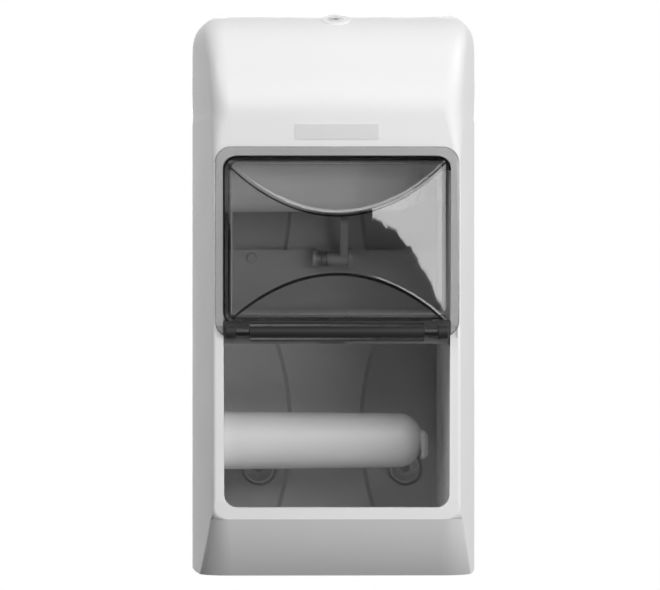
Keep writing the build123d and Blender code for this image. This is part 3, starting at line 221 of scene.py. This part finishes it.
STREAKS = {"scale": 9.0, "detail": 2.0}
STREAK_SPAN = (0.3, 0.7)
STREAK_DARK = 0.94
STREAK_LIGHT = 1.05
SMUDGES = {"scale": 38.0, "detail": 5.0, "rough": 0.62}
KNUCKLE_ROUGH = 0.4
RIPPLE = {"scale": 22.0, "detail": 1.0}
RIPPLE_STRENGTH = 0.03
RIPPLE_HEIGHT = 0.4 * MM
ACRYLIC_IOR = 1.49
# Light that a lamp keeps at each surface, besides what the tint takes
CLEAR_SHARE = 0.96


def band_node(tree, value, low, high):
    """One between two values and zero outside, with soft ends."""
    middle = (low + high) / 2
    half = (high - low) / 2
    away = math_node(tree, "ABSOLUTE", math_node(tree, "SUBTRACT", value, middle))
    node = tree.nodes.new("ShaderNodeMapRange")
    node.inputs["From Min"].default_value = half - BAND_SOFTNESS
    node.inputs["From Max"].default_value = half + BAND_SOFTNESS
    node.inputs["To Min"].default_value = 1.0
    node.inputs["To Max"].default_value = 0.0
    tree.links.new(away, node.inputs["Value"])
    return node.outputs[0]


def frame_distance(tree, across, height, half, low, top, corner):
    """Distance outside an upright frame with round corners, negative inside it."""
    aside = math_node(tree, "SUBTRACT", math_node(tree, "ABSOLUTE", across), half)
    level = math_node(tree, "SUBTRACT", height, (top + low) / 2)
    level = math_node(tree, "SUBTRACT", math_node(tree, "ABSOLUTE", level), (top - low) / 2)
    squares = []
    for edge in (aside, level):
        reach = math_node(tree, "MAXIMUM", math_node(tree, "ADD", edge, corner), 0.0)
        squares.append(math_node(tree, "MULTIPLY", reach, reach))
    outside = math_node(tree, "SQRT", math_node(tree, "ADD", *squares))
    return math_node(tree, "SUBTRACT", outside, corner)


def crease_mask(tree, across, height, outside):
    """Painted shade along both creases at full strength, and at a little on the plane facets beyond them,
    inside the rim.
    """
    square = math_node(tree, "MULTIPLY", across, across)
    root = math_node(tree, "SQRT", math_node(tree, "SUBTRACT", FACET_RADIUS ** 2, square))
    rise = math_node(tree, "SUBTRACT", root, FACET_RADIUS - FACET_RISE)
    frown_line = math_node(tree, "MULTIPLY_ADD", rise, FROWN_SLOPE, FACET_LOW)
    smile_line = math_node(tree, "MULTIPLY_ADD", rise, -SMILE_SLOPE, FACET_TOP)
    frown = math_node(tree, "SUBTRACT", height, frown_line)
    smile = math_node(tree, "SUBTRACT", height, smile_line)
    frown_band = band_node(tree, frown, *FROWN_BAND)
    creases = math_node(tree, "MAXIMUM", frown_band, band_node(tree, smile, *SMILE_BAND))
    below_frown = math_node(tree, "LESS_THAN", frown, 0.0)
    facets = math_node(tree, "MAXIMUM", below_frown, math_node(tree, "GREATER_THAN", smile, 0.0))
    facets = math_node(tree, "MULTIPLY", facets, FACET_SHADE)
    creases = math_node(tree, "MAXIMUM", creases, facets)
    return math_node(tree, "MULTIPLY", creases, math_node(tree, "LESS_THAN", outside, 0.0))


def rim_mask(tree, across, height, outside):
    """Painted shade on the step round the crowned middle, strongest at its two edges, fainter down the right
    side.
    """
    step = band_node(tree, outside, *STEP_BAND)
    rims = math_node(tree, "MAXIMUM", step, band_node(tree, outside, *RIM_BAND))
    between = band_node(tree, outside, STEP_BAND[0], RIM_BAND[1])
    rims = math_node(tree, "MAXIMUM", rims, math_node(tree, "MULTIPLY", between, RIM_SHADE))
    right = math_node(tree, "GREATER_THAN", across, RIGHT_RIM)
    below_corner = math_node(tree, "LESS_THAN", height, FACET_TOP - RIM_CORNER)
    right = math_node(tree, "MULTIPLY", right, below_corner)
    return math_node(tree, "MULTIPLY", rims, math_node(tree, "MULTIPLY_ADD", right, -RIGHT_RIM_FADE, 1.0))


def painted_flap_shade(tree):
    """Painted shade on the flap's creases, rims, outline and foot, where its walls look dark edge on, and on
    the knuckles by themselves.
    """
    coord = tree.nodes.new("ShaderNodeTexCoord")
    split = tree.nodes.new("ShaderNodeSeparateXYZ")
    tree.links.new(coord.outputs["Object"], split.inputs[0])
    across = split.outputs[0]
    height = split.outputs[2]
    outside = frame_distance(tree, across, height, FACET_HALF, FACET_LOW, FACET_TOP, RIM_CORNER)
    margin = frame_distance(tree, across, height, FLAP_HALF, FLAP_LOW, FLAP_TOP, FLAP_CORNER)
    creases = crease_mask(tree, across, height, outside)
    rims = rim_mask(tree, across, height, outside)
    outline = math_node(tree, "MULTIPLY", band_node(tree, margin, *OUTLINE_BAND), OUTLINE_SHADE)
    rims = math_node(tree, "MAXIMUM", rims, outline)
    aside = math_node(tree, "SUBTRACT", math_node(tree, "ABSOLUTE", across), FACET_HALF)
    within = math_node(tree, "LESS_THAN", aside, 0.0)
    sole = math_node(tree, "MULTIPLY", band_node(tree, height, *SOLE_BAND), within)
    sole = math_node(tree, "MULTIPLY", sole, SOLE_SHADE)
    beside = math_node(tree, "LESS_THAN", aside, RIM_BAND[1])
    knuckles = math_node(tree, "MULTIPLY", math_node(tree, "LESS_THAN", height, FACET_LOW), beside)
    dark = math_node(tree, "MAXIMUM", math_node(tree, "MAXIMUM", creases, rims), sole)
    return math_node(tree, "MAXIMUM", dark, knuckles), knuckles


def smoked(name, tint, rough):
    """Smoked clear plastic with flow streaks, smudges and a faint ripple. It bends what is seen through it.

    Shadow and diffuse rays go straight through it, so that what is behind it is lit."""
    mat, tree, shader, out = new_material(name)
    flow = noise_node(tree, **STREAKS)
    tone = ramp_node(tree, flow.outputs[0], *STREAK_SPAN, grey(tint * STREAK_DARK), grey(tint * STREAK_LIGHT))
    # Shade painted into the smoke's colour at its creases, rims, outline and foot, and on the knuckles
    dark, knuckles = painted_flap_shade(tree)
    painted_shade_tone = mix_colour(tree, dark, tone.outputs[0], grey(PAINTED_SHADE_TINT))
    tree.links.new(painted_shade_tone, shader.inputs["Base Color"])
    smudge = noise_node(tree, **SMUDGES)
    span = map_node(tree, smudge.outputs[0], 0.0, rough * 2)
    grained = math_node(tree, "MULTIPLY_ADD", knuckles, KNUCKLE_ROUGH, span.outputs[0])
    tree.links.new(grained, shader.inputs["Roughness"])
    ripple = noise_node(tree, **RIPPLE)
    bump = bump_node(tree, ripple.outputs[0], RIPPLE_STRENGTH, RIPPLE_HEIGHT)
    tree.links.new(bump.outputs[0], shader.inputs["Normal"])
    shader.inputs["Transmission Weight"].default_value = 1.0
    shader.inputs["IOR"].default_value = ACRYLIC_IOR
    clear = tree.nodes.new("ShaderNodeBsdfTransparent")
    clear.inputs[0].default_value = grey(tint ** 0.5 * CLEAR_SHARE)
    path = tree.nodes.new("ShaderNodeLightPath")
    surface = shader
    for ray in ("Is Shadow Ray", "Is Diffuse Ray"):
        mix = tree.nodes.new("ShaderNodeMixShader")
        tree.links.new(path.outputs[ray], mix.inputs[0])
        tree.links.new(surface.outputs[0], mix.inputs[1])
        tree.links.new(clear.outputs[0], mix.inputs[2])
        surface = mix
    tree.links.new(surface.outputs[0], out.inputs[0])
    return mat


PLASTICS = {
    "cover_white": {"colour": 0.87, "shade": 0.012, "rough": 0.36, "rough_span": 0.05,
                    "grain": 2600.0, "grain_strength": 0.05, "wear": 0.35, "specular": 0.4},
    "strip_grey": {"colour": 0.76, "shade": 0.02, "rough": 0.32, "rough_span": 0.05,
                   "grain": 3200.0, "grain_strength": 0.08},
    "inner_grey": {"colour": 0.68, "shade": 0.06, "rough": 0.5, "rough_span": 0.07,
                   "grain": 1500.0, "grain_strength": 0.35, "wear": 0.3},
    "roller_white": {"colour": 0.81, "shade": 0.02, "rough": 0.5, "rough_span": 0.06,
                     "grain": 2400.0, "grain_strength": 0.06, "wear": 0.3},
    "arm_white": {"colour": 0.62, "shade": 0.04, "rough": 0.48, "rough_span": 0.06,
                  "grain": 2000.0, "grain_strength": 0.2, "wear": 0.25},
    "lock_grey": {"colour": 0.87, "shade": 0.03, "rough": 0.3, "rough_span": 0.06,
                  "grain": 2600.0, "grain_strength": 0.06, "wear": 0.2},
    "liner_grey": {"colour": 0.84, "shade": 0.05, "rough": 0.5, "rough_span": 0.07,
                   "grain": 1500.0, "grain_strength": 0.3, "wear": 0.2},
    "bar_grey": {"colour": 0.10, "shade": 0.06, "rough": 0.5, "rough_span": 0.07,
                 "grain": 1500.0, "grain_strength": 0.35, "wear": 0.1},
    "smoke_dark": {"colour": 0.035, "shade": 0.2, "rough": 0.5, "rough_span": 0.08,
                   "grain": 2200.0, "grain_strength": 0.06, "specular": 0.2},
}
METALS = {
    "lock_metal": {"colour": 0.78, "rough": 0.34, "brushed": 3.0},
    "steel": {"colour": 0.62, "rough": 0.32, "brushed": 0.3},
    "steel_black": {"colour": 0.20, "rough": 0.42, "brushed": 0.3},
    "steel_phosphated": {"colour": 0.05, "rough": 0.5, "brushed": 0.3},
}
SMOKE_TINT = 0.75
SMOKE_ROUGH = 0.02

# Nodes that don't take the finish of their own slot
OWN_FINISH = {
    "divider_screws": "inner_grey",
    "side_wall_screws": "steel_black",
    "liner_screws": "steel_black",
    "crossbar_screws": "steel_black",
    "flap_hinge_rod": "steel_phosphated",
    "cover_liner": "liner_grey",
}

finishes = {name: plastic(name, **look) for name, look in PLASTICS.items()}
finishes.update({name: metal(name, **look) for name, look in METALS.items()})
finishes["smoke_clear"] = smoked("smoke_clear", SMOKE_TINT, SMOKE_ROUGH)

for name, obj in nodes.items():
    slot_name = obj.data.materials[0].name.split(".")[0]
    finish = finishes[OWN_FINISH.get(name, slot_name)]
    for material_slot in obj.material_slots:
        material_slot.material = finish

# Stage

MATT_ROUGH = 0.9


def stage_mesh(name, points, faces, mat):
    """Piece of the studio, which isn't part of the object."""
    mesh = bpy.data.meshes.new(name)
    mesh.from_pydata(points, [], faces)
    mesh.materials.append(mat)
    obj = bpy.data.objects.new(name, mesh)
    scene.collection.objects.link(obj)
    return obj


def level_sheet(name, half, height, mat):
    """Square level sheet of the studio."""
    corners = [(x * half, y * half, height) for x, y in ((-1, -1), (1, -1), (1, 1), (-1, 1))]
    return stage_mesh(name, corners, [(0, 1, 2, 3)], mat)


def matt(name, colour, paleness=0.0):
    """Even matt finish for the studio, which the camera may see paler than it is lit."""
    mat, tree, shader, _ = new_material(name)
    shader.inputs["Base Color"].default_value = grey(colour)
    shader.inputs["Roughness"].default_value = MATT_ROUGH
    if paleness:
        path = tree.nodes.new("ShaderNodeLightPath")
        seen = math_node(tree, "MULTIPLY", path.outputs["Is Camera Ray"], paleness)
        shader.inputs["Emission Color"].default_value = grey(1)
        tree.links.new(seen, shader.inputs["Emission Strength"])
    return mat


def glowing(name, strength):
    """Even light for a window."""
    mat, tree, out = empty_material(name)
    glow = tree.nodes.new("ShaderNodeEmission")
    glow.inputs[1].default_value = strength
    tree.links.new(glow.outputs[0], out.inputs[0])
    return mat


SCREEN_AXIS = -0.12


def curved_screen(name, radius, start, end, bottom, top, mat, steps=24):
    """Upright screen round the front of the object, from one compass angle to another."""
    points = []
    for step in range(steps + 1):
        share = step / steps
        angle = radians(start + (end - start) * share)
        x = radius * sin(angle)
        y = SCREEN_AXIS - radius * cos(angle)
        points += [(x, y, bottom(share)), (x, y, top)]
    faces = [(2 * i, 2 * i + 1, 2 * i + 3, 2 * i + 2) for i in range(steps)]
    return stage_mesh(name, points, faces, mat)


def only_in_gloss_and_glass(obj):
    """Keep a dark sheet to reflections and to what is seen through the smoke."""
    obj.visible_camera = False
    obj.visible_diffuse = False
    obj.visible_shadow = False


FLOOR_HALF = 6.0
FLOOR_HEIGHT = -1.15
FLOOR_COLOUR = 0.8
FLOOR_PALENESS = 0.78
level_sheet("floor", FLOOR_HALF, FLOOR_HEIGHT, matt("floor_pale", FLOOR_COLOUR, FLOOR_PALENESS))

# Dark studio that the smoked plastic mirrors
STUDIO_DARK = 0.02
SCREEN_RADIUS = 3.4
SCREEN_ANGLE = 80
SCREEN_BOTTOM = -1.1
SCREEN_TOP = 0.75
GROUND_HALF = 3.2
GROUND_ABOVE_FLOOR = 0.03
screen = curved_screen("dark_screen", SCREEN_RADIUS, -SCREEN_ANGLE, SCREEN_ANGLE,
                       lambda share: SCREEN_BOTTOM, SCREEN_TOP, matt("screen_dark", STUDIO_DARK))
only_in_gloss_and_glass(screen)
ground = level_sheet("dark_ground", GROUND_HALF, FLOOR_HEIGHT + GROUND_ABOVE_FLOOR,
                     matt("ground_dark", STUDIO_DARK))
only_in_gloss_and_glass(ground)

# Pieces of the wall, which show through the four screw holes
HOLE_X = 41 * MM
HOLE_Z = 98 * MM
SPOT_RADIUS = 3.3 * MM
SPOT_BEHIND = 0.6 * MM
SPOT_SIDES = 16
SPOT_COLOUR = 0.6
spot_mat = matt("wall_shade", SPOT_COLOUR)
turns = [2 * pi * side / SPOT_SIDES for side in range(SPOT_SIDES)]
for side in (-1, 1):
    for level in (-1, 1):
        ring = [(side * HOLE_X + SPOT_RADIUS * cos(turn), SPOT_BEHIND,
                 level * HOLE_Z + SPOT_RADIUS * sin(turn)) for turn in turns]
        stage_mesh("wall_spot_%d_%d" % (side, level), ring, [tuple(range(SPOT_SIDES))], spot_mat)

# White world that is seen directly, in gloss and through the smoke, but lights no matt surface
world = bpy.data.worlds.new("studio")
scene.world = world
world.use_nodes = True
world_tree = world.node_tree
world_tree.nodes.clear()
world_out = world_tree.nodes.new("ShaderNodeOutputWorld")
white = world_tree.nodes.new("ShaderNodeBackground")
white.inputs[0].default_value = grey(1)
world_path = world_tree.nodes.new("ShaderNodeLightPath")
direct = math_node(world_tree, "MAXIMUM", world_path.outputs["Is Camera Ray"],
                   world_path.outputs["Is Transmission Ray"])
world_seen = math_node(world_tree, "MAXIMUM", direct, world_path.outputs["Is Glossy Ray"])
world_tree.links.new(world_seen, white.inputs[1])
world_tree.links.new(white.outputs[0], world_out.inputs[0])


def area_light(name, place, target, width, height, power):
    """Soft box that looks at a target."""
    data = bpy.data.lights.new(name, "AREA")
    data.shape = "RECTANGLE"
    data.size = width
    data.size_y = height
    data.energy = power
    lamp = bpy.data.objects.new(name, data)
    scene.collection.objects.link(lamp)
    lamp.location = place
    lamp.rotation_euler = (Vector(target) - Vector(place)).to_track_quat("-Z", "Y").to_euler()


# Window at the right, with the fall and curve of its sill in metres, and the leaves along it as waves, each
# with its height and its radians over the window's width
WINDOW_RADIUS = 1.0
WINDOW_START = 17
WINDOW_END = 66
WINDOW_TOP = 0.22
WINDOW_STRENGTH = 6.7
WINDOW_STEPS = 96
SILL_START = 0.055
SILL_FALL = 0.135
SILL_CURVE = 1.8
LEAF_WAVES = ((1.4 * MM, 37), (1.0 * MM, 91), (0.6 * MM, 223))


def window_sill(share):
    """Lower edge of the window's light, which falls to the right with a leafy outline."""
    leaves = sum(height * sin(turn * share) for height, turn in LEAF_WAVES)
    return SILL_START - SILL_FALL * share ** SILL_CURVE + leaves


window = curved_screen("window_light", WINDOW_RADIUS, WINDOW_START, WINDOW_END, window_sill, WINDOW_TOP,
                       glowing("window_glow", WINDOW_STRENGTH), WINDOW_STEPS)
window.visible_camera = False
window.visible_shadow = False

# Every lamp looks at the middle of the dispenser
LAMP_TARGET = (0, -0.08, 0.0)
LAMPS = {
    # name: place, width, height, power
    "main": ((0.15, -2.05, 1.1), 1.5, 0.8, 15.0),
    "over_left": ((-0.40, -1.47, 1.58), 0.9, 0.6, 0.6),
    "left_high": ((-0.5, -0.6, 0.7), 0.4, 0.4, 1.4),
    "left_near": ((-0.7, -0.5, 0.75), 0.5, 0.5, 1.5),
    "right_top": ((1.1, -0.3, 1.1), 0.8, 0.8, 6.2),
    "top": ((0.1, -0.05, 1.5), 1.2, 0.6, 2.0),
    "behind": ((0.0, 1.8, 0.4), 0.3, 1.0, 9.0),
    "low_right": ((0.85, -1.75, -0.45), 0.8, 0.4, 4.3),
}
for name, (place, width, height, power) in LAMPS.items():
    area_light(name, place, LAMP_TARGET, width, height, power)

# Camera, level with the cover's middle and a little to its left

CAMERA_PLACE = Vector((-0.042, -2.406, 0.0))
CAMERA_AIM = Vector((-0.0011, 0.0, -0.0008))
CAMERA_LENS = 233.07
SENSOR_WIDTH = 36.0
NEAREST_SEEN = 0.05
FARTHEST_SEEN = 50.0
camera_data = bpy.data.cameras.new("camera")
camera_data.sensor_width = SENSOR_WIDTH
camera_data.sensor_fit = "HORIZONTAL"
camera_data.lens = CAMERA_LENS
camera_data.clip_start = NEAREST_SEEN
camera_data.clip_end = FARTHEST_SEEN
camera = bpy.data.objects.new("camera", camera_data)
scene.collection.objects.link(camera)
camera.location = CAMERA_PLACE
camera.rotation_euler = (CAMERA_AIM - CAMERA_PLACE).to_track_quat("-Z", "Y").to_euler()
scene.camera = camera

scene.view_settings.view_transform = "Standard"

bpy.context.view_layer.update()
